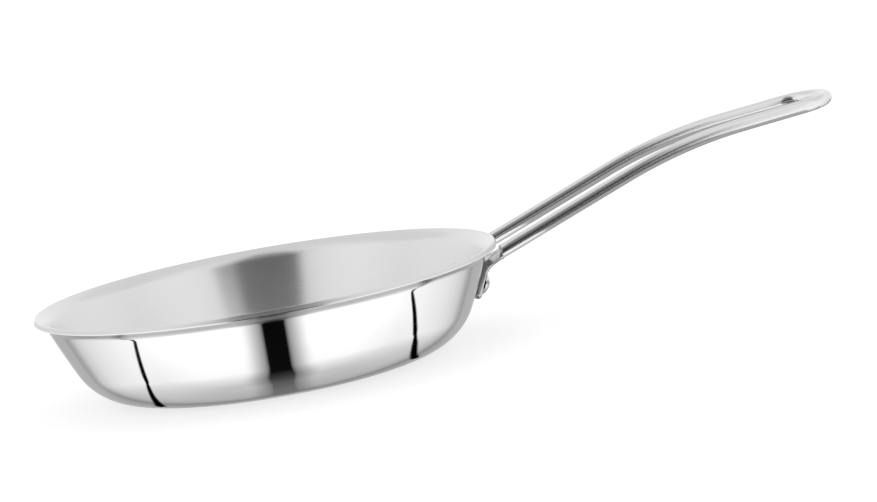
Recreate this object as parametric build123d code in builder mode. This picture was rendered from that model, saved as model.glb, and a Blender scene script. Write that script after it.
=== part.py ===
from build123d import *
from math import asin, atan2, cos, hypot, radians, sin, tan
import os

# An omelette pan: a pressed sheet of three bonded layers, with a rod handle held by two rivets.
# The origin is at the centre of the underside. The handle lies along +X.

# Body
rim_diameter = 240.0
pan_depth = 50.0
base_diameter = 146.0
corner_share = 0.702  # of the way from base edge to rim, taken by the round between base and wall
lip_rise = 20.0  # degrees above level
lip_length = 3.56  # of the lip's straight end
lip_bend_radius = 5.0  # outside, between wall and lip
skin_thickness = 0.5
core_thickness = 1.8
lip_edge_round = 0.25

# Handle, a loop of round rod
rod_diameter = 7.0
leg_spacing = 37.2  # between the middles of the two legs
rod_past_rim = 0.4  # from the rim to the upright end face of each leg
rod_drop = 9.4  # from the top of the pan down to the rod's middle line there
rise_angle = 19.1  # degrees, from the pan to the bow
rise_length = 78.9
bow_radius = 270.0
grip_angle = 4.6  # degrees, beyond the bow
grip_length = 34.0

# Forged flat at the end of each leg
flat_thickness = 3.9  # on the wall
flat_root_thickness = 5.2  # where it leaves the rod
flat_width = 12.6
flat_root_width = 6.2
flat_taper_length = 8.4
flat_corner_drop = 11.7  # from the top of the pan down to its bend
flat_bend_radius = 9.0  # on its hollow side
flat_ridge_radius = 1.0  # on its other side
flat_below_rivet = 8.0
flat_end_round = 3.0
flat_outer_round = 2.0
flat_inner_round = 0.4

# Rivets
rivet_drop = 22.2  # from the top of the pan down to the rivet's middle in the wall
shank_diameter = 5.0
outer_head_diameter = 11.2
outer_head_height = 2.8
inner_head_diameter = 12.0
inner_head_height = 2.0
head_rim_height = 0.3

# Clearances
seat_gap = 0.05  # between the wall, a forged flat and a rivet's heads
hole_clearance = 0.1  # round a shank
overrun = 2.0  # of every cut past the piece that it cuts
joint_overlap = 1.5  # of a leg's and a flat's blanks past the face where they meet

# Worked out from the sizes above
sheet_thickness = skin_thickness + core_thickness + skin_thickness
rim_radius = rim_diameter / 2
base_radius = base_diameter / 2
rod_radius = rod_diameter / 2
half_spacing = leg_spacing / 2
rod_start = rim_radius + rod_past_rim
rod_start_height = pan_depth - rod_drop
flat_corner_height = pan_depth - flat_corner_drop
rivet_height = pan_depth - rivet_drop
lip = radians(lip_rise)
rise = radians(rise_angle)
grip = radians(grip_angle)

# Section of the sheet's outside, as distance from the axis and height
corner_radius = corner_share * (rim_radius - base_radius)
corner_centre = (base_radius, corner_radius)
lip_end = (rim_radius, pan_depth - sheet_thickness * cos(lip))
lip_centre = (
    lip_end[0] - lip_length * cos(lip) + lip_bend_radius * sin(lip),
    lip_end[1] - lip_length * sin(lip) - lip_bend_radius * cos(lip),
)
# The straight wall touches both rounds, which fixes how far it leans
across, up = lip_centre[0] - corner_centre[0], lip_centre[1] - corner_centre[1]
climb = atan2(up, across) + asin((corner_radius + lip_bend_radius) / hypot(across, up))
lean = radians(90) - climb
wall_foot = (corner_centre[0] + corner_radius * cos(lean), corner_centre[1] - corner_radius * sin(lean))


def on_circle(centre, radius, angle):
    return (centre[0] + radius * cos(angle), centre[1] + radius * sin(angle))


def sheet_line(inset):
    """The sheet's section line, inset from the outside, as its named points."""
    corner_arc = corner_radius - inset
    lip_arc = lip_bend_radius + inset
    return {
        "middle": (0, inset),
        "base_edge": (base_radius, inset),
        "corner_mid": on_circle(corner_centre, corner_arc, -(radians(90) + lean) / 2),
        "wall_foot": on_circle(corner_centre, corner_arc, -lean),
        "wall_head": on_circle(lip_centre, lip_arc, radians(180) - lean),
        "lip_mid": on_circle(lip_centre, lip_arc, radians(135) - (lean - lip) / 2),
        "lip_start": on_circle(lip_centre, lip_arc, radians(90) + lip),
        "lip_end": (lip_end[0] - inset * sin(lip), lip_end[1] + inset * cos(lip)),
    }


def layer_outline(inset, thickness):
    """Draws the closed section of one layer of the sheet."""
    outside = sheet_line(inset)
    inside = sheet_line(inset + thickness)
    for side in (outside, inside):
        Line(side["middle"], side["base_edge"])
        ThreePointArc(side["base_edge"], side["corner_mid"], side["wall_foot"])
        Line(side["wall_foot"], side["wall_head"])
        ThreePointArc(side["wall_head"], side["lip_mid"], side["lip_start"])
        Line(side["lip_start"], side["lip_end"])
    Line(outside["middle"], inside["middle"])
    Line(outside["lip_end"], inside["lip_end"])


def off_wall(height, out):
    """The section point at a distance square out from the outside of the straight wall."""
    wall_radius = wall_foot[0] + (height - wall_foot[1]) * tan(lean)
    return (wall_radius + out * cos(lean), height - out * sin(lean))


flat_out = seat_gap + flat_thickness
rivet_turn = asin(half_spacing / off_wall(rivet_height, flat_out / 2)[0])


def rivet_plane(side, out):
    """Plane square to a rivet, at a distance out from the wall, with Z pointing outwards."""
    turn = side * rivet_turn
    radius, height = off_wall(rivet_height, out)
    return Plane(
        origin=(radius * cos(turn), radius * sin(turn), height),
        x_dir=(-sin(turn), cos(turn), 0),
        z_dir=(cos(lean) * cos(turn), cos(lean) * sin(turn), -sin(lean)),
    )


wall_holes = [rivet_plane(side, 0) for side in (-1, 1)]


def sheet_layer(inset, thickness):
    """Turns one layer of the sheet about the pan's axis."""
    with BuildSketch(Plane.XZ) as section:
        with BuildLine():
            layer_outline(inset, thickness)
        make_face()
    revolve(section.sketch, axis=Axis.Z)


def rivet_holes(depth):
    with BuildSketch(*wall_holes) as holes:
        Circle(shank_diameter / 2 + hole_clearance)
    extrude(holes.sketch, amount=depth + overrun, both=True, mode=Mode.SUBTRACT)


with BuildPart() as outer_ply:
    sheet_layer(0, skin_thickness)
    fillet(outer_ply.edges().filter_by(GeomType.CIRCLE).sort_by(SortBy.RADIUS)[-1], lip_edge_round)
    rivet_holes(sheet_thickness)

with BuildPart() as aluminium_core:
    sheet_layer(skin_thickness, core_thickness)
    rivet_holes(sheet_thickness)

with BuildPart() as inner_ply:
    sheet_layer(skin_thickness + core_thickness, skin_thickness)
    fillet(inner_ply.edges().filter_by(GeomType.CIRCLE).sort_by(Axis.Z)[-1], lip_edge_round)
    rivet_holes(sheet_thickness)


def along_leg(distance, below=0):
    """A point of a leg's straight part, at a distance from its end face and below its middle line."""
    return (
        rod_start + distance * cos(rise) + below * sin(rise),
        rod_start_height + distance * sin(rise) - below * cos(rise),
    )


# The rod's middle line in its own upright plane
rod_foot = along_leg(-joint_overlap)
bow_start = along_leg(rise_length)
bow_centre = along_leg(rise_length, bow_radius)
bow_mid = on_circle(bow_centre, bow_radius, radians(90) + (rise + grip) / 2)
bow_end = on_circle(bow_centre, bow_radius, radians(90) + grip)
eye_centre = (bow_end[0] + grip_length * cos(grip), bow_end[1] + grip_length * sin(grip))
eye_tip = (eye_centre[0] + half_spacing * cos(grip), eye_centre[1] + half_spacing * sin(grip))


def beside(point, side):
    """A point of the rod's middle line, moved out to one leg."""
    return (point[0], side * half_spacing, point[1])


with BuildLine() as rod_line:
    for side in (-1, 1):
        Line(beside(rod_foot, side), beside(bow_start, side))
        ThreePointArc(beside(bow_start, side), beside(bow_mid, side), beside(bow_end, side))
        Line(beside(bow_end, side), beside(eye_centre, side))
    ThreePointArc(beside(eye_centre, -1), beside(eye_tip, 0), beside(eye_centre, 1))

# Section of a forged flat. A leg passes beside the pan's axis, which makes its radii a little longer.
leg_shift = hypot(rod_start, half_spacing) - rod_start
leg_low = along_leg(joint_overlap, rod_radius)
leg_high = along_leg(joint_overlap, rod_radius - flat_root_thickness)
flat_corner = off_wall(flat_corner_height, seat_gap)
flat_foot_height = rivet_height - flat_below_rivet * cos(lean)
foot_inside = off_wall(flat_foot_height, seat_gap)
foot_outside = off_wall(flat_foot_height, flat_out)
fall = (leg_low[0] + leg_shift - foot_outside[0]) / tan(lean) - (leg_low[1] - foot_outside[1])
fall_length = fall / (cos(rise) / tan(lean) - sin(rise))
hollow_corner = (
    leg_low[0] + leg_shift - fall_length * cos(rise),
    leg_low[1] - fall_length * sin(rise),
)


def along_flat(point):
    """How far a point is out from the wall, and how far below a leg's middle line."""
    radius = hypot(point.X, point.Y)
    out = (radius - wall_foot[0]) * cos(lean) - (point.Z - wall_foot[1]) * sin(lean)
    level = radius - leg_shift - rod_start
    return out, level * sin(rise) - (point.Z - rod_start_height) * cos(rise)


def is_rim(edge, outside):
    """Whether an edge runs along the sides or the foot of a forged flat, on the side asked for."""
    middle = edge.center()
    out, below = along_flat(middle)
    crosses = abs(middle.Y + half_spacing) < flat_root_width / 4 and middle.Z > flat_foot_height
    joins = edge.geom_type == GeomType.LINE or middle.X > rod_start - flat_inner_round
    if outside:
        chosen = out > flat_out / 2 and below > rod_radius - flat_root_thickness / 2
    else:
        chosen = out < flat_out / 4 or below < rod_radius - flat_root_thickness * 3 / 4
    return chosen and not crosses and not joins


with BuildPart() as near_flat:
    with BuildSketch(Plane.XZ) as flat_section:
        Polygon(
            foot_inside,
            foot_outside,
            hollow_corner,
            (leg_low[0] + leg_shift, leg_low[1]),
            (leg_high[0] + leg_shift, leg_high[1]),
            flat_corner,
            align=None,
        )
        hollow = flat_section.vertices().sort_by_distance(Vector(*hollow_corner))[0]
        fillet(hollow, flat_bend_radius)
        ridge = flat_section.vertices().sort_by_distance(Vector(*flat_corner))[0]
        fillet(ridge, flat_ridge_radius)
    revolve(axis=Axis.Z)
    with BuildSketch(Plane.XY):
        with BuildLine():
            near_side = [
                (base_radius, -half_spacing - flat_width / 2),
                (rod_start - flat_taper_length, -half_spacing - flat_width / 2),
                (rod_start, -half_spacing - flat_root_width / 2),
            ]
            far_side = [(x, -leg_spacing - y) for x, y in near_side]
            for side in (near_side, far_side):
                Line(side[0], side[1])
                Spline(side[1], side[2], tangents=[(1, 0), (1, 0)])
            Line(near_side[0], far_side[0])
            Line(near_side[2], far_side[2])
        make_face()
    extrude(amount=pan_depth, mode=Mode.INTERSECT)
    foot_edges = near_flat.edges().filter_by(lambda edge: edge.center().Z < foot_inside[1])
    fillet(foot_edges.filter_by(GeomType.CIRCLE, reverse=True), flat_end_round)
    fillet(near_flat.edges().filter_by(lambda edge: is_rim(edge, True)), flat_outer_round)
    fillet(near_flat.edges().filter_by(lambda edge: is_rim(edge, False)), flat_inner_round)

with BuildPart() as handle:
    with BuildSketch(Plane(origin=rod_line.wire() @ 0, z_dir=rod_line.wire() % 0)):
        Circle(rod_radius)
    sweep(path=rod_line.wire())
    split(bisect_by=Plane.YZ.offset(rod_start), keep=Keep.TOP)
    add(near_flat.part)
    mirror(near_flat.part, about=Plane.XZ)
    rivet_holes(flat_out)


def rivet_section():
    """Draws half a rivet's section, with its axis upright and its wall plane at zero."""
    shank_radius = shank_diameter / 2
    outer_radius = outer_head_diameter / 2
    inner_radius = inner_head_diameter / 2
    hollow_radius = off_wall(rivet_height, -sheet_thickness)[0] / cos(lean)
    inner_seat = -sheet_thickness - seat_gap - inner_radius**2 / hollow_radius / 2
    outer_seat = flat_out + seat_gap
    outer_top = outer_seat + outer_head_height
    inner_top = inner_seat - inner_head_height
    TangentArc((0, outer_top), (outer_radius, outer_seat + head_rim_height), tangent=(1, 0))
    Polyline(
        (outer_radius, outer_seat + head_rim_height),
        (outer_radius, outer_seat),
        (shank_radius, outer_seat),
        (shank_radius, inner_seat),
        (inner_radius, inner_seat),
        (inner_radius, inner_seat - head_rim_height),
    )
    TangentArc((0, inner_top), (inner_radius, inner_seat - head_rim_height), tangent=(1, 0))
    Line((0, inner_top), (0, outer_top))


right_wall = rivet_plane(-1, 0)
with BuildPart() as rivet_right:
    with BuildSketch(Plane(right_wall.origin, right_wall.x_dir, -right_wall.y_dir)):
        with BuildLine():
            rivet_section()
        make_face()
    revolve(axis=Axis(right_wall.origin, right_wall.z_dir))

with BuildPart() as rivet_left:
    mirror(rivet_right.part, about=Plane.XZ)

os.makedirs("parts", exist_ok=True)
inner_ply.part.label = "inner_ply"
export_step(inner_ply.part, "parts/inner_ply.step")
aluminium_core.part.label = "aluminium_core"
export_step(aluminium_core.part, "parts/aluminium_core.step")
outer_ply.part.label = "outer_ply"
export_step(outer_ply.part, "parts/outer_ply.step")
handle.part.label = "handle"
export_step(handle.part, "parts/handle.step")
rivet_right.part.label = "rivet_right"
export_step(rivet_right.part, "parts/rivet_right.step")
rivet_left.part.label = "rivet_left"
export_step(rivet_left.part, "parts/rivet_left.step")
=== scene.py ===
from math import acos, asin, atan2, cos, hypot, pi, radians, sin

import bmesh
import bpy
from mathutils import Matrix, Vector


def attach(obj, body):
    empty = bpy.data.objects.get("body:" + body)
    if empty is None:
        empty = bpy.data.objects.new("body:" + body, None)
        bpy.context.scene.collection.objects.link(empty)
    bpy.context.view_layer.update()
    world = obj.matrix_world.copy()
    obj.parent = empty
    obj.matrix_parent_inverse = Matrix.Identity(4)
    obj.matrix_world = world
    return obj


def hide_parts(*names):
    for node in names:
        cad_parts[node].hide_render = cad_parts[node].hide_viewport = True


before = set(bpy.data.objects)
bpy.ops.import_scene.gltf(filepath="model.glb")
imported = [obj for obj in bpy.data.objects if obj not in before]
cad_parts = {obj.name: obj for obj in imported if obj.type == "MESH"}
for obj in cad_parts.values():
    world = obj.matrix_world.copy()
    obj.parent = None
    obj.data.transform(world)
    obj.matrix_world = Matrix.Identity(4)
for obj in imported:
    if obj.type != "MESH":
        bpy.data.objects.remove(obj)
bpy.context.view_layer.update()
print("frame loaded")

mm = 0.001
origin = (0, 0, 0)
upAxis, acrossAxis = (0, 0, 1), (0, 1, 0)
mergeGap = 0.0005  # vertices nearer than this become one, in mm


# Small helpers for shaping pieces with mesh operators, in millimetres

def placePoint(bm, x, z, y=0.0):
    return bmesh.ops.create_vert(bm, co=(x, y, z))["vert"][0]


def lineTo(bm, vert, point, steps=1):
    startCo = vert.co.copy()
    endCo = Vector((point[0], startCo.y, point[1]))
    for step in range(1, steps + 1):
        vert = bmesh.ops.extrude_vert_indiv(bm, verts=[vert])["verts"][0]
        vert.co = startCo.lerp(endCo, step / steps)
    return vert


def arcTo(bm, vert, centre, turn, steps):
    # turn is counter-clockwise with X to the right and Z up
    swept = bmesh.ops.spin(bm, geom=[vert], cent=(centre[0], 0, centre[1]), axis=acrossAxis,
                           angle=-turn, steps=steps)
    return [item for item in swept["geom_last"] if isinstance(item, bmesh.types.BMVert)][0]


def turnSection(bm, steps):
    # spins the drawn section into a closed solid
    bmesh.ops.spin(bm, geom=bm.verts[:] + bm.edges[:], cent=origin, axis=upAxis, angle=2 * pi,
                   steps=steps, use_merge=True)
    bmesh.ops.remove_doubles(bm, verts=bm.verts, dist=mergeGap)
    bmesh.ops.recalc_face_normals(bm, faces=bm.faces)


def openEdges(bm):
    return [edge for edge in bm.edges if len(edge.link_faces) == 1]


def closeEnds(bm):
    bmesh.ops.holes_fill(bm, edges=openEdges(bm), sides=0)
    bmesh.ops.recalc_face_normals(bm, faces=bm.faces)


def linkMesh(bm, name, materials):
    mesh = bpy.data.meshes.new(name)
    bm.to_mesh(mesh)
    bm.free()
    for material in materials:
        mesh.materials.append(material)
    linked = bpy.data.objects.new(name, mesh)
    bpy.context.scene.collection.objects.link(linked)
    return linked


def finishPiece(bm, name, materials, sharpAngle):
    # from millimetres to metres, smooth but for the sharp edges
    bmesh.ops.transform(bm, matrix=Matrix.Scale(mm, 4), verts=bm.verts)
    bm.normal_update()
    for face in bm.faces:
        face.smooth = True
    for edge in bm.edges:
        edge.smooth = len(edge.link_faces) == 2 and edge.calc_face_angle(0) < radians(sharpAngle)
    piece = linkMesh(bm, name, materials)
    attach(piece, "root")
    return piece


# Helpers for materials

def newMaterial(name):
    material = bpy.data.materials.new(name)
    material.use_nodes = True
    tree = material.node_tree
    tree.nodes.clear()
    return material, tree, tree.nodes.new("ShaderNodeOutputMaterial")


def feed(tree, node, values):
    # each value is a number or another node's socket
    for socket, value in zip(node.inputs, values):
        if isinstance(value, bpy.types.NodeSocket):
            tree.links.new(value, socket)
        else:
            socket.default_value = value
    return node.outputs[0]


def mathNode(tree, operation, *values):
    node = tree.nodes.new("ShaderNodeMath")
    node.operation = operation
    return feed(tree, node, values)


def joinXYZ(tree, *values):
    return feed(tree, tree.nodes.new("ShaderNodeCombineXYZ"), values)


def splitXYZ(tree, vector):
    node = tree.nodes.new("ShaderNodeSeparateXYZ")
    tree.links.new(vector, node.inputs[0])
    return tuple(node.outputs)


def objectPoint(tree):
    return tree.nodes.new("ShaderNodeTexCoord").outputs["Object"]


def noiseNode(tree, vector, scale, detail, roughness):
    node = tree.nodes.new("ShaderNodeTexNoise")
    node.inputs["Scale"].default_value = scale
    node.inputs["Detail"].default_value = detail
    node.inputs["Roughness"].default_value = roughness
    tree.links.new(vector, node.inputs["Vector"])
    return node.outputs["Fac"]


def rangeNode(tree, value, low, high, newLow, newHigh):
    node = tree.nodes.new("ShaderNodeMapRange")
    node.inputs["From Min"].default_value = low
    node.inputs["From Max"].default_value = high
    node.inputs["To Min"].default_value = newLow
    node.inputs["To Max"].default_value = newHigh
    tree.links.new(value, node.inputs["Value"])
    return node.outputs["Result"]


def greyFrom(tree, value, low, high, tint):
    shade = tree.nodes.new("ShaderNodeMix")
    shade.data_type = "RGBA"
    shade.inputs["A"].default_value = (low * tint[0], low * tint[1], low * tint[2], 1)
    shade.inputs["B"].default_value = (high * tint[0], high * tint[1], high * tint[2], 1)
    tree.links.new(value, shade.inputs["Factor"])
    return shade.outputs["Result"]


def bumpFrom(tree, height, distance):
    node = tree.nodes.new("ShaderNodeBump")
    node.inputs["Distance"].default_value = distance
    node.inputs["Strength"].default_value = 1.0
    tree.links.new(height, node.inputs["Height"])
    return node.outputs["Normal"]


# Where the brush marks run: along is how often they change with the grain, across how often over it

def stretchedPoint(tree, along, across):
    # marks along X
    x, y, z = splitXYZ(tree, objectPoint(tree))
    return joinXYZ(tree, mathNode(tree, "MULTIPLY", x, along),
                   mathNode(tree, "MULTIPLY", y, across), mathNode(tree, "MULTIPLY", z, across))


def rodPoint(tree, along, across):
    # the rod's own map: first round it, then along it in metres
    uvMap = tree.nodes.new("ShaderNodeUVMap")
    uvMap.uv_map = "rodMap"
    turned, travelled = splitXYZ(tree, uvMap.outputs[0])[:2]
    return joinXYZ(tree, mathNode(tree, "MULTIPLY", turned, across),
                   mathNode(tree, "MULTIPLY", travelled, along), 0.0)


def turnedPoint(tree, along, across):
    # marks round the pan's axis
    x, y, z = splitXYZ(tree, objectPoint(tree))
    radius = mathNode(tree, "SQRT", mathNode(
        tree, "ADD", mathNode(tree, "MULTIPLY", x, x), mathNode(tree, "MULTIPLY", y, y)))
    safeRadius = mathNode(tree, "MAXIMUM", radius, 0.0001)  # the middle has no direction
    height = mathNode(tree, "ADD", mathNode(tree, "MULTIPLY", z, across),
                      mathNode(tree, "MULTIPLY", radius, across))
    return joinXYZ(tree, mathNode(tree, "MULTIPLY", mathNode(tree, "DIVIDE", x, safeRadius), along),
                   mathNode(tree, "MULTIPLY", mathNode(tree, "DIVIDE", y, safeRadius), along), height)


# The metals

noiseValues = {
    "marksDetail": 4.0, "marksRoughness": 0.6,
    "smearDetail": 3.0, "smearRoughness": 0.55,
    "low": 0.3, "high": 0.7,  # the noise seldom leaves this span
}


def metalMaterial(name, look, point):
    # fine marks in colour, roughness and bump, with faint smears over them
    material, tree, output = newMaterial(name)
    shader = tree.nodes.new("ShaderNodeBsdfPrincipled")
    tree.links.new(shader.outputs["BSDF"], output.inputs["Surface"])
    marks = noiseNode(tree, point(tree, look["marksAlong"], look["marksAcross"]), 1.0,
                      noiseValues["marksDetail"], noiseValues["marksRoughness"])
    smears = noiseNode(tree, objectPoint(tree), look["smearScale"],
                       noiseValues["smearDetail"], noiseValues["smearRoughness"])
    mixed = mathNode(tree, "ADD", mathNode(tree, "MULTIPLY", marks, look["marksShare"]),
                     mathNode(tree, "MULTIPLY", smears, 1 - look["marksShare"]))
    rough = rangeNode(tree, mixed, noiseValues["low"], noiseValues["high"],
                      look["smoothest"], look["roughest"])
    for low, high, extra in look.get("wornHeights", []):
        height = splitXYZ(tree, objectPoint(tree))[2]
        rough = mathNode(tree, "ADD", rough, rangeNode(tree, height, low, high, 0, extra))
    tree.links.new(greyFrom(tree, mixed, look["darkest"], look["lightest"], look["tint"]),
                   shader.inputs["Base Color"])
    tree.links.new(rough, shader.inputs["Roughness"])
    tree.links.new(bumpFrom(tree, marks, look["markDepth"]), shader.inputs["Normal"])
    shader.inputs["Metallic"].default_value = 1.0
    shader.inputs["Anisotropic"].default_value = look.get("anisotropy", 0.0)
    shader.inputs["Anisotropic Rotation"].default_value = look.get("anisotropyTurn", 0.0)
    if "brushedRound" in look:
        tangent = tree.nodes.new("ShaderNodeTangent")
        tangent.direction_type = look["brushedRound"]
        if look["brushedRound"] == "RADIAL":
            tangent.axis = "Z"
        else:
            tangent.uv_map = "rodMap"
        tree.links.new(tangent.outputs[0], shader.inputs["Tangent"])
    return material


mirrorLook = {
    "tint": (1.0, 1.0, 1.004), "darkest": 0.94, "lightest": 0.97,
    "smoothest": 0.02, "roughest": 0.04, "smearScale": 35.0,
    "marksAlong": 6.0, "marksAcross": 1400.0, "marksShare": 0.35, "markDepth": 0.0000002,
    "wornHeights": [  # from, to and how much rougher: under the lip, then the base's edge, in metres
        (0.0431, 0.0438, 0.13),
        (0.0008, 0.0002, 0.1),
    ],
}
satinLook = {
    "tint": (1.0, 1.0, 1.004), "darkest": 0.77, "lightest": 0.87,
    "smoothest": 0.22, "roughest": 0.28, "smearScale": 30.0,
    "marksAlong": 5.0, "marksAcross": 2600.0, "marksShare": 0.7, "markDepth": 0.000003,
    "anisotropy": 0.95, "anisotropyTurn": 0.25, "brushedRound": "RADIAL",
}
coreLook = {
    "tint": (1.0, 1.0, 1.0), "darkest": 0.66, "lightest": 0.8,
    "smoothest": 0.28, "roughest": 0.38, "smearScale": 120.0,
    "marksAlong": 30.0, "marksAcross": 6000.0, "marksShare": 0.7, "markDepth": 0.000004,
}
rodLook = {
    "tint": (1.0, 1.0, 1.004), "darkest": 0.8, "lightest": 0.9,
    "smoothest": 0.17, "roughest": 0.2, "smearScale": 60.0,
    "marksAlong": 60.0, "marksAcross": 160.0, "marksShare": 0.6, "markDepth": 0.000002,
    "anisotropy": 0.7, "brushedRound": "UV_MAP",
}
# the flats are the same steel as the rod, coloured darker: painted shade
paintedShadeFlatLook = {
    "tint": (1.0, 1.0, 1.004), "darkest": 0.5, "lightest": 0.62,
    "smoothest": 0.17, "roughest": 0.25, "smearScale": 90.0,
    "marksAlong": 40.0, "marksAcross": 2200.0, "marksShare": 0.6, "markDepth": 0.0000015,
}
rivetLook = {
    "tint": (1.0, 1.0, 1.004), "darkest": 0.72, "lightest": 0.82,
    "smoothest": 0.12, "roughest": 0.18, "smearScale": 200.0,
    "marksAlong": 400.0, "marksAcross": 900.0, "marksShare": 0.5, "markDepth": 0.0000015,
}

mirrorSteel = metalMaterial("mirrorSteel", mirrorLook, turnedPoint)
satinSteel = metalMaterial("satinSteel", satinLook, turnedPoint)
coreAluminium = metalMaterial("coreAluminium", coreLook, turnedPoint)
rodSteel = metalMaterial("rodSteel", rodLook, rodPoint)
paintedShadeFlatSteel = metalMaterial("paintedShadeFlatSteel", paintedShadeFlatLook, stretchedPoint)
rivetSteel = metalMaterial("rivetSteel", rivetLook, stretchedPoint)
print("materials made")


# The pan's three layers, each a turned section

panSizes = {
    "rimRadius": 120.0,
    "depth": 50.0,
    "baseRadius": 73.0,
    "cornerShare": 0.702,  # of the way from base edge to rim
    "lipRise": 20.0,
    "lipLength": 3.56,
    "lipBend": 5.0,
    "wallBow": 430.0,  # the wall is very slightly domed
    "skin": 0.5,
    "core": 1.8,
    "edgeRound": 0.22,
    "edgeSegments": 4,
    "turns": 256,  # faces round the pan
    "baseSteps": 5,
    "cornerSteps": 28,
    "wallSteps": 24,
    "lipSteps": 12,
    "lipEdgeSteps": 2,
    "sharpAngle": 30,
}

sheet = panSizes["skin"] * 2 + panSizes["core"]
lip = radians(panSizes["lipRise"])
cornerRadius = panSizes["cornerShare"] * (panSizes["rimRadius"] - panSizes["baseRadius"])
cornerCentre = (panSizes["baseRadius"], cornerRadius)
lipEnd = (panSizes["rimRadius"], panSizes["depth"] - sheet * cos(lip))
lipCentre = (
    lipEnd[0] - panSizes["lipLength"] * cos(lip) + panSizes["lipBend"] * sin(lip),
    lipEnd[1] - panSizes["lipLength"] * sin(lip) - panSizes["lipBend"] * cos(lip),
)
across, up = lipCentre[0] - cornerCentre[0], lipCentre[1] - cornerCentre[1]
spread = hypot(across, up)
# the straight line that touches both circles, on which the rivets stand
lean = radians(90) - (atan2(up, across) + asin((cornerRadius + panSizes["lipBend"]) / spread))
wallFoot = (cornerCentre[0] + cornerRadius * cos(lean), cornerCentre[1] - cornerRadius * sin(lean))
# the domed wall touches the corner's circle from outside it and the lip's from beside it
toCorner, toLip = panSizes["wallBow"] - cornerRadius, panSizes["wallBow"] + panSizes["lipBend"]
cornerSlant = acos((toCorner**2 + spread**2 - toLip**2) / (2 * toCorner * spread))
bowHeading = atan2(up, across) + cornerSlant
wallCentre = (cornerCentre[0] + toCorner * cos(bowHeading), cornerCentre[1] + toCorner * sin(bowHeading))
footLean = atan2(wallCentre[1] - cornerCentre[1], cornerCentre[0] - wallCentre[0])
headLean = atan2(wallCentre[1] - lipCentre[1], lipCentre[0] - wallCentre[0])


def atLip(inset):
    # a point of the lip's cut edge, this far in from the outer skin
    return (lipEnd[0] - inset * sin(lip), lipEnd[1] + inset * cos(lip))


def sheetOutward(bm, vert, inset):
    # from the middle of the base out to the lip's edge
    vert = lineTo(bm, vert, (panSizes["baseRadius"], inset), panSizes["baseSteps"])
    vert = arcTo(bm, vert, cornerCentre, radians(90) - footLean, panSizes["cornerSteps"])
    vert = arcTo(bm, vert, wallCentre, footLean - headLean, panSizes["wallSteps"])
    vert = arcTo(bm, vert, lipCentre, -(radians(90) - headLean - lip), panSizes["lipSteps"])
    return lineTo(bm, vert, atLip(inset), panSizes["lipEdgeSteps"])


def sheetInward(bm, vert, inset):
    # and back again
    bend = panSizes["lipBend"] + inset
    lipStart = (lipCentre[0] + bend * cos(radians(90) + lip), lipCentre[1] + bend * sin(radians(90) + lip))
    vert = lineTo(bm, vert, lipStart, panSizes["lipEdgeSteps"])
    vert = arcTo(bm, vert, lipCentre, radians(90) - headLean - lip, panSizes["lipSteps"])
    vert = arcTo(bm, vert, wallCentre, headLean - footLean, panSizes["wallSteps"])
    vert = arcTo(bm, vert, cornerCentre, footLean - radians(90), panSizes["cornerSteps"])
    return lineTo(bm, vert, (0, inset), panSizes["baseSteps"])


def sheetLayer(name, inset, thickness, material, roundedEdge=None):
    bm = bmesh.new()
    outerLip = sheetOutward(bm, placePoint(bm, 0, inset), inset)
    innerLip = lineTo(bm, outerLip, atLip(inset + thickness))
    sheetInward(bm, innerLip, inset + thickness)
    rounded = {"outer": outerLip, "inner": innerLip}.get(roundedEdge)
    if rounded:
        bmesh.ops.bevel(bm, geom=[rounded], offset=panSizes["edgeRound"], offset_type="OFFSET",
                        segments=panSizes["edgeSegments"], profile=0.5, affect="VERTICES", material=-1)
    turnSection(bm, panSizes["turns"])
    return finishPiece(bm, name, [material], panSizes["sharpAngle"])


outerSkin = sheetLayer("outerSkin", 0, panSizes["skin"], mirrorSteel, "outer")
coreSheet = sheetLayer("coreSheet", panSizes["skin"], panSizes["core"], coreAluminium)
innerSkin = sheetLayer("innerSkin", panSizes["skin"] + panSizes["core"], panSizes["skin"], satinSteel, "inner")
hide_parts("outer_ply")
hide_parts("aluminium_core")
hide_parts("inner_ply")
print("pan turned")


# The handle: one bent rod, with the forged flats that end it

handleSizes = {
    "rodRadius": 3.5,
    "halfSpacing": 18.6,
    "start": 120.4,
    "startHeight": 40.6,
    "rise": 19.1,
    "riseLength": 78.9,
    "bowRadius": 270.0,
    "grip": 4.6,
    "gripLength": 34.0,
    "footBack": 4.0,  # of blank cut away at the end face
    "endRound": 0.35,
    "endSegments": 3,
    "flatIntoRod": 0.8,
    "cutGap": 0.0001,
    "endSlack": 0.001,  # how near the end face an edge counts as on it
    "flatSlack": 0.002,
    "sides": 64,
    "riseSteps": 8,
    "bowSteps": 20,
    "gripSteps": 4,
    "eyeSteps": 36,
    "sharpAngle": 28,
}


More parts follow.
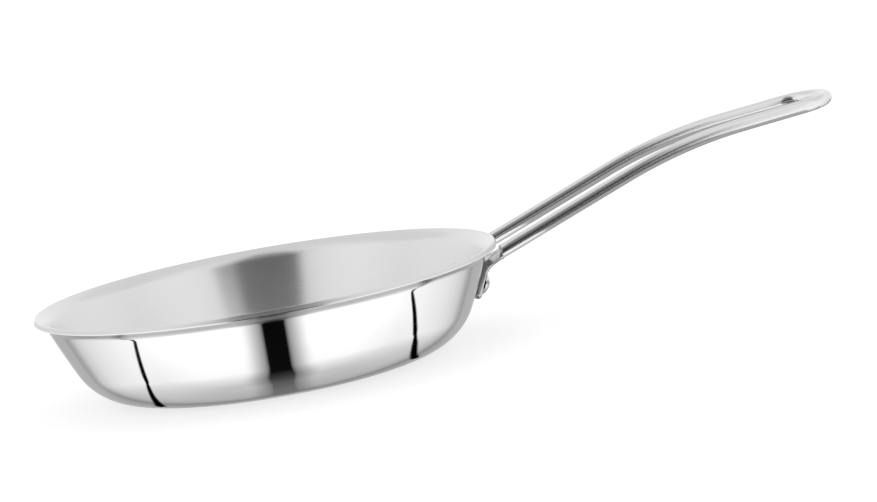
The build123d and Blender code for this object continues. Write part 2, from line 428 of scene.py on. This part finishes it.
def handleRod():
    sizes = handleSizes
    rise, grip = radians(sizes["rise"]), radians(sizes["grip"])
    along = Vector((cos(rise), 0, sin(rise)))
    gripAlong = Vector((cos(grip), 0, sin(grip)))
    foot = Vector((sizes["start"], -sizes["halfSpacing"], sizes["startHeight"]))
    blank = foot - along * sizes["footBack"]
    bowStart = foot + along * sizes["riseLength"]
    bowCentre = bowStart + Vector((sin(rise), 0, -cos(rise))) * sizes["bowRadius"]
    bowEnd = bowCentre + Vector((-sin(grip), 0, cos(grip))) * sizes["bowRadius"]
    eyeCentre = bowEnd + gripAlong * sizes["gripLength"]
    eyeCentre.y = 0

    bm = bmesh.new()
    roundRod = bm.verts.layers.float.new("roundRod")
    alongRod = bm.verts.layers.float.new("alongRod")
    toSection = Matrix.Translation(blank) @ Matrix.Rotation(pi / 2 - rise, 4, "Y")
    bmesh.ops.create_circle(bm, cap_ends=True, segments=sizes["sides"], radius=sizes["rodRadius"],
                            matrix=toSection)
    for count, vert in enumerate(bm.verts):
        vert[roundRod] = count / sizes["sides"]

    def grow(tip, travel):
        # pulls the end face out by one ring
        grown = bmesh.ops.extrude_face_region(bm, geom=tip)["geom"]
        bmesh.ops.delete(bm, geom=tip, context="FACES_ONLY")
        tip = [item for item in grown if isinstance(item, bmesh.types.BMFace)]
        ring = list({vert for face in tip for vert in face.verts})
        for vert in ring:
            vert[alongRod] += travel * mm
        return tip, ring

    def push(tip, travel, steps):
        for step in range(steps):
            tip, ring = grow(tip, travel.length / steps)
            bmesh.ops.translate(bm, vec=travel / steps, verts=ring)
        return tip

    def turn(tip, centre, axis, angle, steps, radius):
        for step in range(steps):
            tip, ring = grow(tip, abs(angle) * radius / steps)
            bmesh.ops.rotate(bm, cent=centre, matrix=Matrix.Rotation(angle / steps, 3, axis), verts=ring)
        return tip

    # up one leg, round the eye and down the other
    leg = along * (sizes["riseLength"] + sizes["footBack"])
    straight = gripAlong * sizes["gripLength"]
    eyeAxis = Vector((-sin(grip), 0, cos(grip)))
    tip = push(bm.faces[:], leg, sizes["riseSteps"])
    tip = turn(tip, bowCentre, Vector(acrossAxis), rise - grip, sizes["bowSteps"], sizes["bowRadius"])
    tip = push(tip, straight, sizes["gripSteps"])
    tip = turn(tip, eyeCentre, eyeAxis, pi, sizes["eyeSteps"], sizes["halfSpacing"])
    tip = push(tip, -straight, sizes["gripSteps"])
    tip = turn(tip, bowCentre, Vector(acrossAxis), grip - rise, sizes["bowSteps"], sizes["bowRadius"])
    push(tip, -leg, sizes["riseSteps"])

    # the upright end faces
    bmesh.ops.bisect_plane(bm, geom=bm.verts[:] + bm.edges[:] + bm.faces[:], dist=sizes["cutGap"],
                           plane_co=(sizes["start"], 0, 0), plane_no=(1, 0, 0), clear_inner=True)
    closeEnds(bm)
    endEdges = [edge for edge in bm.edges
                if all(abs(vert.co.x - sizes["start"]) < sizes["endSlack"] for vert in edge.verts)]
    bmesh.ops.bevel(bm, geom=endEdges, offset=sizes["endRound"], offset_type="OFFSET",
                    segments=sizes["endSegments"], profile=0.5, affect="EDGES", material=-1)

    # the rod's own map, whose seam runs along it
    rodMap = bm.loops.layers.uv.new("rodMap")
    for face in bm.faces:
        shares = [vert[roundRod] for vert in face.verts]
        crossesSeam = max(shares) - min(shares) > 0.5
        for loop in face.loops:
            share = loop.vert[roundRod]
            loop[rodMap].uv = (share + 1 if crossesSeam and share < 0.5 else share, loop.vert[alongRod])
    return bm


def forgedFlats(bm):
    # a merged copy of the solid's two flats, its roots carried on into the rod
    flats = bmesh.new()
    flats.from_mesh(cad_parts["handle"].data)
    bmesh.ops.transform(flats, matrix=Matrix.Scale(1 / mm, 4), verts=flats.verts)
    bmesh.ops.remove_doubles(flats, verts=flats.verts, dist=mergeGap)
    limit = handleSizes["start"] - handleSizes["flatSlack"]
    rod = [face for face in flats.faces if min(vert.co.x for vert in face.verts) > limit]
    bmesh.ops.delete(flats, geom=rod, context="FACES")
    root = bmesh.ops.extrude_edge_only(flats, edges=openEdges(flats))["geom"]
    rootVerts = [item for item in root if isinstance(item, bmesh.types.BMVert)]
    bmesh.ops.translate(flats, vec=(handleSizes["flatIntoRod"], 0, 0), verts=rootVerts)
    closeEnds(flats)
    # the flats take the darker steel, whose colour is painted shade
    for face in flats.faces:
        face.material_index = 1
    carried = bpy.data.meshes.new("carried")
    flats.to_mesh(carried)
    flats.free()
    bm.from_mesh(carried)
    bpy.data.meshes.remove(carried)


handleMesh = handleRod()
forgedFlats(handleMesh)
handleLoop = finishPiece(handleMesh, "handleLoop", [rodSteel, paintedShadeFlatSteel], handleSizes["sharpAngle"])
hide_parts("handle")
print("handle bent")


# Rivets

rivetSizes = {
    "height": 27.8,
    "shank": 5.0,
    "outerHead": 11.2,
    "outerHeadHeight": 2.8,
    "innerHead": 12.0,
    "innerHeadHeight": 2.0,
    "headRim": 0.3,
    "flatThickness": 3.9,
    "seat": 0.05,
    "turns": 64,  # faces round a rivet
    "domeSteps": 14,
    "sharpAngle": 40,
}


def offWall(height, out):
    # radius and height of a point this far out from the straight wall
    wallRadius = wallFoot[0] + (height - wallFoot[1]) * (sin(lean) / cos(lean))
    return (wallRadius + out * cos(lean), height - out * sin(lean))


def rivet(name, node, side):
    sizes = rivetSizes
    flatOut = sizes["seat"] + sizes["flatThickness"]
    turn = side * asin(handleSizes["halfSpacing"] / offWall(sizes["height"], flatOut / 2)[0])
    shankRadius, outerRadius, innerRadius = sizes["shank"] / 2, sizes["outerHead"] / 2, sizes["innerHead"] / 2
    hollow = offWall(sizes["height"], -sheet)[0] / cos(lean)  # the inner wall's own radius there
    innerSeat = -sheet - sizes["seat"] - innerRadius**2 / hollow / 2
    outerSeat = flatOut + sizes["seat"]
    outerTop = outerSeat + sizes["outerHeadHeight"]
    innerTop = innerSeat - sizes["innerHeadHeight"]
    outerRise = sizes["outerHeadHeight"] - sizes["headRim"]
    innerRise = sizes["innerHeadHeight"] - sizes["headRim"]
    outerDome = (outerRadius**2 + outerRise**2) / outerRise / 2
    innerDome = (innerRadius**2 + innerRise**2) / innerRise / 2

    bm = bmesh.new()
    vert = placePoint(bm, 0, outerTop)
    vert = arcTo(bm, vert, (0, outerTop - outerDome), -asin(outerRadius / outerDome), sizes["domeSteps"])
    vert = lineTo(bm, vert, (outerRadius, outerSeat))
    vert = lineTo(bm, vert, (shankRadius, outerSeat))
    vert = lineTo(bm, vert, (shankRadius, innerSeat))
    vert = lineTo(bm, vert, (innerRadius, innerSeat))
    vert = lineTo(bm, vert, (innerRadius, innerTop + innerRise))
    arcTo(bm, vert, (0, innerTop + innerDome), -asin(innerRadius / innerDome), sizes["domeSteps"])
    turnSection(bm, sizes["turns"])

    # stood square to the wall
    radius, height = offWall(sizes["height"], 0)
    outward = Vector((cos(lean) * cos(turn), cos(lean) * sin(turn), -sin(lean)))
    sideways = Vector((-sin(turn), cos(turn), 0))
    upward = outward.cross(sideways)
    place = Matrix.Translation((radius * cos(turn), radius * sin(turn), height)) @ Matrix(
        (sideways, upward, outward)).transposed().to_4x4()
    bmesh.ops.transform(bm, matrix=place, verts=bm.verts)
    piece = finishPiece(bm, name, [rivetSteel], sizes["sharpAngle"])
    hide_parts(node)
    return piece


rivet("rivetRight", "rivet_right", -1)
rivet("rivetLeft", "rivet_left", 1)
print("rivets set")


# The camera, at the photograph's viewing angle

cameraValues = {
    "azimuth": 11.97,
    "elevation": 7.826,
    "roll": 10.047,
    "distance": 2.1512,
    "focalPixels": 4199.6,
    "aimRight": 173.26,  # of the focus, in pixels
    "aimUp": 29.19,
    "frameWidth": 877,
    "sensorWidth": 36.0,
    "focus": (0.0, 0.0, 0.0485),
    "clipNear": 0.01,
    "clipFar": 100,
}


def placeCamera():
    values = cameraValues
    azimuth, elevation = radians(values["azimuth"]), radians(values["elevation"])
    roll = radians(values["roll"])
    forward = Vector((cos(elevation) * sin(azimuth), cos(elevation) * cos(azimuth), -sin(elevation)))
    right = Vector((cos(azimuth), -sin(azimuth), 0))
    upward = right.cross(forward)
    rolledRight = right * cos(roll) - upward * sin(roll)
    rolledUp = upward * cos(roll) + right * sin(roll)
    place = Vector(values["focus"]) - forward * values["distance"]
    aim = (forward * values["focalPixels"] + rolledRight * values["aimRight"]
           + rolledUp * values["aimUp"]).normalized()
    cameraX = (rolledRight - aim * rolledRight.dot(aim)).normalized()
    cameraY = cameraX.cross(aim)
    data = bpy.data.cameras.new("studioCamera")
    data.sensor_width = values["sensorWidth"]
    data.lens = values["focalPixels"] * values["sensorWidth"] / values["frameWidth"]
    data.clip_start, data.clip_end = values["clipNear"], values["clipFar"]
    camera = bpy.data.objects.new("studioCamera", data)
    camera.matrix_world = Matrix.Translation(place) @ Matrix((cameraX, cameraY, -aim)).transposed().to_4x4()
    bpy.context.scene.collection.objects.link(camera)
    bpy.context.scene.camera = camera


# The floor: pale, and clear from below, so that the pan's underside can be seen

floorValues = {
    "size": 12.0,
    "gap": 0.0001,  # under the pan
    "shade": 0.55,
    "roughness": 0.9,
    "glow": 0.54,  # for the camera alone
    "squares": 4,
}


def makeFloor():
    material, tree, output = newMaterial("paleFloor")
    shader = tree.nodes.new("ShaderNodeBsdfPrincipled")
    shade = floorValues["shade"]
    shader.inputs["Base Color"].default_value = (shade, shade, shade, 1)
    shader.inputs["Roughness"].default_value = floorValues["roughness"]
    shader.inputs["Specular IOR Level"].default_value = 0.0
    glow = tree.nodes.new("ShaderNodeEmission")
    path = tree.nodes.new("ShaderNodeLightPath")
    tree.links.new(mathNode(tree, "MULTIPLY", path.outputs["Is Camera Ray"], floorValues["glow"]),
                   glow.inputs["Strength"])
    both = tree.nodes.new("ShaderNodeAddShader")
    tree.links.new(shader.outputs[0], both.inputs[0])
    tree.links.new(glow.outputs[0], both.inputs[1])
    clear = tree.nodes.new("ShaderNodeBsdfTransparent")
    oneSided = tree.nodes.new("ShaderNodeMixShader")
    tree.links.new(tree.nodes.new("ShaderNodeNewGeometry").outputs["Backfacing"], oneSided.inputs[0])
    tree.links.new(both.outputs[0], oneSided.inputs[1])
    tree.links.new(clear.outputs[0], oneSided.inputs[2])
    tree.links.new(oneSided.outputs[0], output.inputs["Surface"])
    bm = bmesh.new()
    bmesh.ops.create_grid(bm, x_segments=floorValues["squares"], y_segments=floorValues["squares"],
                          size=floorValues["size"], matrix=Matrix.Translation((0, 0, -floorValues["gap"])))
    floor = linkMesh(bm, "studioFloor", [material])
    floor.visible_glossy = False


# Two flat glowing cards just above the floor, which only reflections see: painted reflections for the rods'
# dark bands and a painted shadow of the handle on the floor

cardValues = {
    "height": 0.0004,
    # a near-black glowing sheet: a painted dark reflection in the rods
    "frontCard": {
        "glow": 0.11,
        "corners": [(0.15, -0.09), (0.15, -0.25), (0.0, -0.25), (0.0, -1.1),
                    (0.62, -1.1), (0.44, -0.6), (0.3, -0.2), (0.3, -0.09)],
    },
    # a grey glowing sheet under the handle: the handle's painted shadow on the floor, seen only in reflections
    "handleShadowCard": {
        "glow": 0.42,
        "corners": [(0.175, -0.09), (0.34, -0.09), (0.34, 0.05), (0.175, 0.05)],
    },
}


def glossyCard(name):
    material, tree, output = newMaterial(name)
    glow = tree.nodes.new("ShaderNodeEmission")
    glow.inputs["Strength"].default_value = cardValues[name]["glow"]
    tree.links.new(glow.outputs[0], output.inputs["Surface"])
    bm = bmesh.new()
    verts = [placePoint(bm, x, cardValues["height"], y) for x, y in cardValues[name]["corners"]]
    bmesh.ops.contextual_create(bm, geom=verts)
    card = linkMesh(bm, name, [material])
    card.visible_camera = card.visible_diffuse = card.visible_shadow = card.visible_transmission = False


# The surround: soft white light all round, in which reflections find a dark gap in front and two thin seams.
# Each table pairs an angle, or a part of the direction from -1 to 1, with a brightness, an edge or a width.

surroundValues = {
    "gapTurn": 3.0,  # the dark gap above is this far left of the camera, in degrees
    "lowGapTurn": -3.0,
    "highRing": [  # brightness high up, by degrees round from the middle of the gap
        (0, 0.14), (17.5, 0.14), (19.5, 0.24), (21, 0.44), (23.5, 0.61), (28, 0.7), (34, 0.79), (43, 0.87),
        (52, 0.91), (62, 0.92), (75, 0.89), (85, 0.81), (94, 0.77), (96, 0.67), (99, 0.67), (101, 0.76),
        (115, 0.77), (145, 0.78), (180, 0.78)],
    "rodRing": [  # the same lower down, where the gap is wider
        (0, 0.02), (23, 0.02), (24, 0.2), (25, 0.7), (26.5, 1), (60, 1), (100, 0.95), (140, 0.9), (180, 0.9)],
    "lowField": [  # brightness below, by how far towards the camera the view is turned
        (-1, 0.5), (-0.9, 0.45), (-0.8, 0.44), (-0.77, 0.36), (-0.74, 0.38), (-0.655, 0.63), (-0.55, 0.75),
        (-0.45, 0.82), (-0.32, 0.88), (-0.2, 0.94), (-0.03, 1.0), (0.1, 1.06), (0.3, 1.12), (1, 1.14)],
    "fieldEdge": [  # how steeply down, from 0 to 1, the field starts to dim, by the same turn
        (-1, 0.3), (-0.8, 0.42), (-0.655, 0.5), (-0.55, 0.553), (-0.45, 0.59), (-0.2, 0.64), (0, 0.67),
        (0.344, 0.788), (0.56, 0.84), (1, 0.84)],
    "fieldDim": [  # and by how much, beyond that edge
        (0, 1), (0.08, 0.84), (0.14, 0.75), (0.22, 0.68), (0.3, 0.57), (1, 0.5)],
    "gapDepth": [  # brightness within the gap below, by the same turn
        (-1, 0.6), (-0.86, 0.42), (-0.75, 0.17), (-0.47, 0.156), (-0.1, 0.107), (0.18, 0.038), (0.4, 0.004),
        (1, 0)],
    "gapWidth": [
        (-1, 0.02), (-0.8, 0.025), (-0.4, 0.05), (-0.1, 0.07), (0, 0.085), (0.2, 0.11), (1, 0.11)],
    "fullGap": 0.11,  # the width that gapFlank is drawn for
    "gapFlank": [  # how it brightens to each side
        (0, 0), (0.074, 0), (0.1, 0.28), (0.159, 0.57), (0.213, 0.87), (0.256, 1), (1, 1)],
    # the seams: how far aside each runs low down and up the wall, as start, slope and bend by the same turn
    "seams": [
        {"side": -1, "low": (0.84, 0.693, -0.122), "wall": (0.766, 0.151, -0.724), "wallFrom": -0.168,
         "width": [(-0.9, 0.0001), (-0.86, 0.013), (-0.6, 0.017), (-0.25, 0.017), (-0.168, 0.012),
                   (-0.01, 0.006), (0.02, 0.0001)]},
        {"side": 1, "low": (0.891, 0.784, -0.054), "wall": (0.775, 0.079, -0.825), "wallFrom": -0.215,
         "width": [(-0.88, 0.0001), (-0.84, 0.012), (-0.6, 0.022), (-0.4, 0.026), (-0.25, 0.02), (-0.2, 0.012),
                   (-0.06, 0.006), (-0.03, 0.0001)]},
    ],
    "seamEdge": (0.6, 1.2),  # soft edge, in widths from its middle
    "steepFrom": (0.5, 0.58),  # upward share at which the high ring takes over
    "fillFrom": (0.72, 0.95),  # and at which the gap fills with light
    "fillRise": 0.15,
    "fillLeast": 0.17,
    "horizon": (-0.24, -0.1),  # upward share at which what is below turns into what is above
    "horizonDrop": (0.4, 0.3),  # towards the camera, by this turn, it lies this much lower
}


def shadeRamp(tree, value, table, low, high):
    # looks the value up in a table; its numbers are halved in the ramp, which stops at 1
    node = tree.nodes.new("ShaderNodeValToRGB")
    stops = node.color_ramp.elements
    while len(stops) > 1:
        stops.remove(stops[-1])
    for count, (place, shade) in enumerate(table):
        share = (place - low) / (high - low)
        stop = stops[0] if count == 0 else stops.new(share)
        stop.position = share
        stop.color = (shade / 2, shade / 2, shade / 2, 1)
    tree.links.new(rangeNode(tree, value, low, high, 0, 1), node.inputs["Fac"])
    return mathNode(tree, "MULTIPLY", node.outputs["Color"], 2)


def dotNode(tree, vector, x, y, z):
    node = tree.nodes.new("ShaderNodeVectorMath")
    node.operation = "DOT_PRODUCT"
    tree.links.new(vector, node.inputs[0])
    node.inputs[1].default_value = (x, y, z)
    return node.outputs["Value"]


def makeSurround():
    world = bpy.data.worlds.new("studioSurround")
    bpy.context.scene.world = world
    world.use_nodes = True
    tree = world.node_tree
    tree.nodes.clear()
    values = surroundValues

    def calc(operation, *numbers):
        return mathNode(tree, operation, *numbers)

    def blend(first, second, share):
        # first where share is 0, second where it is 1
        return calc("ADD", calc("MULTIPLY", first, calc("SUBTRACT", 1, share)), calc("MULTIPLY", second, share))

    output = tree.nodes.new("ShaderNodeOutputWorld")
    light = tree.nodes.new("ShaderNodeBackground")
    light.inputs["Color"].default_value = (1, 1, 1, 1)
    tree.links.new(light.outputs[0], output.inputs[0])
    heading = tree.nodes.new("ShaderNodeTexCoord").outputs["Generated"]
    azimuth = radians(cameraValues["azimuth"])
    toRight = dotNode(tree, heading, cos(azimuth), -sin(azimuth), 0)
    toCamera = dotNode(tree, heading, -sin(azimuth), -cos(azimuth), 0)
    upward = dotNode(tree, heading, 0, 0, 1)

    def curve(start, slope, bend):
        climb = calc("ADD", slope, calc("MULTIPLY", toCamera, bend))
        return calc("ADD", start, calc("MULTIPLY", toCamera, climb))

    # above: a bright ring with one dark gap
    flatLength = calc("SQRT", calc("MAXIMUM", calc("SUBTRACT", 1, calc("MULTIPLY", upward, upward)), 0.0001))

    def ringShade(turned, ring):
        # the ring's middle is turned left of the camera by this many degrees
        middle = azimuth + radians(turned)
        cosine = calc("DIVIDE", dotNode(tree, heading, -sin(middle), -cos(middle), 0), flatLength)
        angle = calc("MULTIPLY", calc("ARCCOSINE", calc("MINIMUM", calc("MAXIMUM", cosine, -1), 1)), 180 / pi)
        return shadeRamp(tree, angle, ring, 0, 180)

    steep = rangeNode(tree, upward, *values["steepFrom"], 0, 1)
    fill = calc("ADD", rangeNode(tree, upward, *values["fillFrom"], 0, values["fillRise"]), values["fillLeast"])
    high = blend(ringShade(values["lowGapTurn"], values["rodRing"]),
                 calc("MAXIMUM", ringShade(values["gapTurn"], values["highRing"]), fill), steep)

    # below: a pale field, one dark gap in front and two thin seams
    aside = calc("ABSOLUTE", toRight)
    inward = calc("SUBTRACT", calc("ABSOLUTE", upward), shadeRamp(tree, toCamera, values["fieldEdge"], -1, 1))
    field = calc("MULTIPLY", shadeRamp(tree, toCamera, values["lowField"], -1, 1),
                 shadeRamp(tree, inward, values["fieldDim"], 0, 1))
    width = shadeRamp(tree, toCamera, values["gapWidth"], -1, 1)
    flank = shadeRamp(tree, calc("DIVIDE", calc("MULTIPLY", aside, values["fullGap"]), width),
                      values["gapFlank"], 0, 1)
    gap = shadeRamp(tree, toCamera, values["gapDepth"], -1, 1)
    low = calc("ADD", gap, calc("MULTIPLY", calc("SUBTRACT", field, gap), flank))
    for seam in values["seams"]:
        onWall = calc("GREATER_THAN", toCamera, seam["wallFrom"])
        place = blend(curve(*seam["low"]), curve(*seam["wall"]), onWall)
        off = calc("SUBTRACT", calc("MULTIPLY", toRight, seam["side"]), place)
        share = calc("DIVIDE", calc("ABSOLUTE", off), shadeRamp(tree, toCamera, seam["width"], -1, 0.1))
        low = calc("MULTIPLY", low, rangeNode(tree, share, *values["seamEdge"], 0, 1))

    # only reflections see any of this: everything else sees plain white
    turnedBy, drop = values["horizonDrop"]
    lowered = calc("ADD", upward, rangeNode(tree, toCamera, 0, turnedBy, 0, drop))
    seen = blend(low, high, rangeNode(tree, lowered, *values["horizon"], 0, 1))
    glossy = tree.nodes.new("ShaderNodeLightPath").outputs["Is Glossy Ray"]
    tree.links.new(blend(1, seen, glossy), light.inputs["Strength"])


placeCamera()
makeFloor()
glossyCard("frontCard")
glossyCard("handleShadowCard")
makeSurround()
bpy.context.scene.view_settings.view_transform = "Standard"
print("studio lit")
